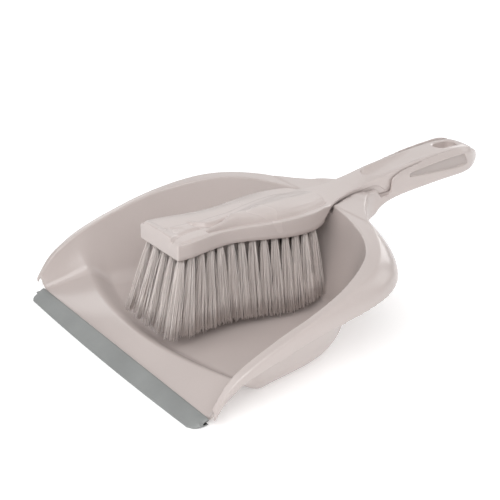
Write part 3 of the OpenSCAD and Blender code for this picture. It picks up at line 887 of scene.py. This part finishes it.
def wire(name):
    m, nt, bs = node_material(name)
    N, L = nt.nodes, nt.links
    co = N.new("ShaderNodeTexCoord")
    n = N.new("ShaderNodeTexNoise"); n.inputs["Scale"].default_value = 700
    L.new(co.outputs["Object"], n.inputs["Vector"])
    ramp = N.new("ShaderNodeValToRGB")
    ramp.color_ramp.elements[0].color, ramp.color_ramp.elements[1].color = srgb(170, 172, 175), srgb(205, 206, 208)
    L.new(n.outputs["Fac"], ramp.inputs["Fac"]); L.new(ramp.outputs["Color"], bs.inputs["Base Color"])
    bs.inputs["Metallic"].default_value = 1.0
    rr = N.new("ShaderNodeMapRange")
    rr.inputs["To Min"].default_value, rr.inputs["To Max"].default_value = 0.25, 0.4
    L.new(n.outputs["Fac"], rr.inputs["Value"]); L.new(rr.outputs["Result"], bs.inputs["Roughness"])
    return m


def dress(o, mat):
    o.data.materials.clear()
    o.data.materials.append(mat)
    return o


# the 0.84 darkens the grip panels' colour as painted shade
pan_mat = plastic("pan_plastic", srgb(197, 186, 182), srgb(203, 192, 188), 0.24, grip=0.84)
brush_mat = plastic("brush_plastic", srgb(201, 190, 186), srgb(207, 196, 192), 0.26, seed=3.0)
rubber_mat, bristle_mat, wire_mat = rubber("lip_rubber"), bristle("bristle"), wire("anchor_wire")

# ---------------------------------------------------------------- build
pan = make_dustpan()
wall = tree_of(pan)
place(pan)
shade(pan); dress(pan, pan_mat)
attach(pan, "pan"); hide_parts("dustpan")

lip = place(make_lip())
shade(lip); dress(lip, rubber_mat)
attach(lip, "pan"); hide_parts("lip_strip")

body = place(make_brush())
shade(body, 40); dress(body, brush_mat)
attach(body, "brush"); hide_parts("brush_body")

for k, row in zip(range(-2, 3), ("left_outer", "left_inner", "middle", "right_inner", "right_outer")):
    t = place(make_row(k, "bristles_" + row, 40 + k, wall))
    shade(t); dress(t, bristle_mat)
    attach(t, "brush"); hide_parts("tufts_" + row)
    dress(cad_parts["anchors_" + row], wire_mat)

# ---------------------------------------------------------------- floor, light and camera
floor = new_object("floor", [(-3, -3, 0), (3, -3, 0), (3, 3, 0), (-3, 3, 0)], [(0, 1, 2, 3)])
floor.location.z = -0.0002
fm, nt, bs = node_material("floor_white")
n = nt.nodes.new("ShaderNodeTexNoise"); n.inputs["Scale"].default_value = 3
rp = nt.nodes.new("ShaderNodeValToRGB")
rp.color_ramp.elements[0].color, rp.color_ramp.elements[1].color = (0.93, 0.93, 0.93, 1), (0.95, 0.95, 0.95, 1)
nt.links.new(n.outputs["Fac"], rp.inputs["Fac"]); nt.links.new(rp.outputs["Color"], bs.inputs["Base Color"])
bs.inputs["Roughness"].default_value = 0.9
bs.inputs["Emission Color"].default_value = (1, 1, 1, 1)
bs.inputs["Emission Strength"].default_value = 0.270
dress(floor, fm)

world = bpy.data.worlds.new("studio")
bpy.context.scene.world = world
world.use_nodes = True
world.node_tree.nodes["Background"].inputs["Color"].default_value = (1, 1, 1, 1)
world.node_tree.nodes["Background"].inputs["Strength"].default_value = 0.250


def area(name, at, look, size, power, size_y=None):
    d = bpy.data.lights.new(name, "AREA")
    d.energy, d.size, d.shape = power, size, "RECTANGLE"
    d.size_y = size_y or size
    o = bpy.data.objects.new(name, d)
    bpy.context.scene.collection.objects.link(o)
    o.location = at
    o.rotation_euler = (Vector(look) - Vector(at)).to_track_quat("-Z", "Y").to_euler()
    return o


area("front", (0.000, -1.202, 1.242), (0, 0, 0.04), 1.2, 7.6)
area("key", (0.985, -0.689, 1.242), (0, 0, 0.04), 1.2, 17.0)
area("back_high", (-0.850, 0.850, 1.242), (0, 0, 0.04), 1.0, 0.6)
area("back", (-1.256, 0.913, 0.731), (0, 0, 0.04), 0.9, 2.0)
area("rear", (-0.531, 1.459, 0.731), (0, 0, 0.04), 0.8, 6.3)
area("far_side", (-1.552, 0.054, 0.731), (0, 0, 0.04), 0.8, 3.8)
area("rear_side", (0.527, 1.448, 0.758), (0, 0, 0.04), 0.8, 3.8)

az, el = math.radians(54.5103), math.radians(24.4214)
b = Vector((math.sin(az) * math.cos(el), -math.cos(az) * math.cos(el), math.sin(el)))
r = Vector((math.cos(az), math.sin(az), 0))
u = b.cross(r)
cam_data = bpy.data.cameras.new("camera")
cam_data.sensor_width, cam_data.lens = 36.0, 86.4
cam_data.clip_start, cam_data.clip_end = 0.01, 50
cam = bpy.data.objects.new("camera", cam_data)
bpy.context.scene.collection.objects.link(cam)
cam.matrix_world = Matrix((
    (r.x, u.x, b.x, 0.628511),
    (r.y, u.y, b.y, -0.495941),
    (r.z, u.z, b.z, 0.398104),
    (0, 0, 0, 1)))
bpy.context.scene.camera = cam
bpy.context.scene.view_settings.view_transform = "Standard"

bpy.context.view_layer.update()
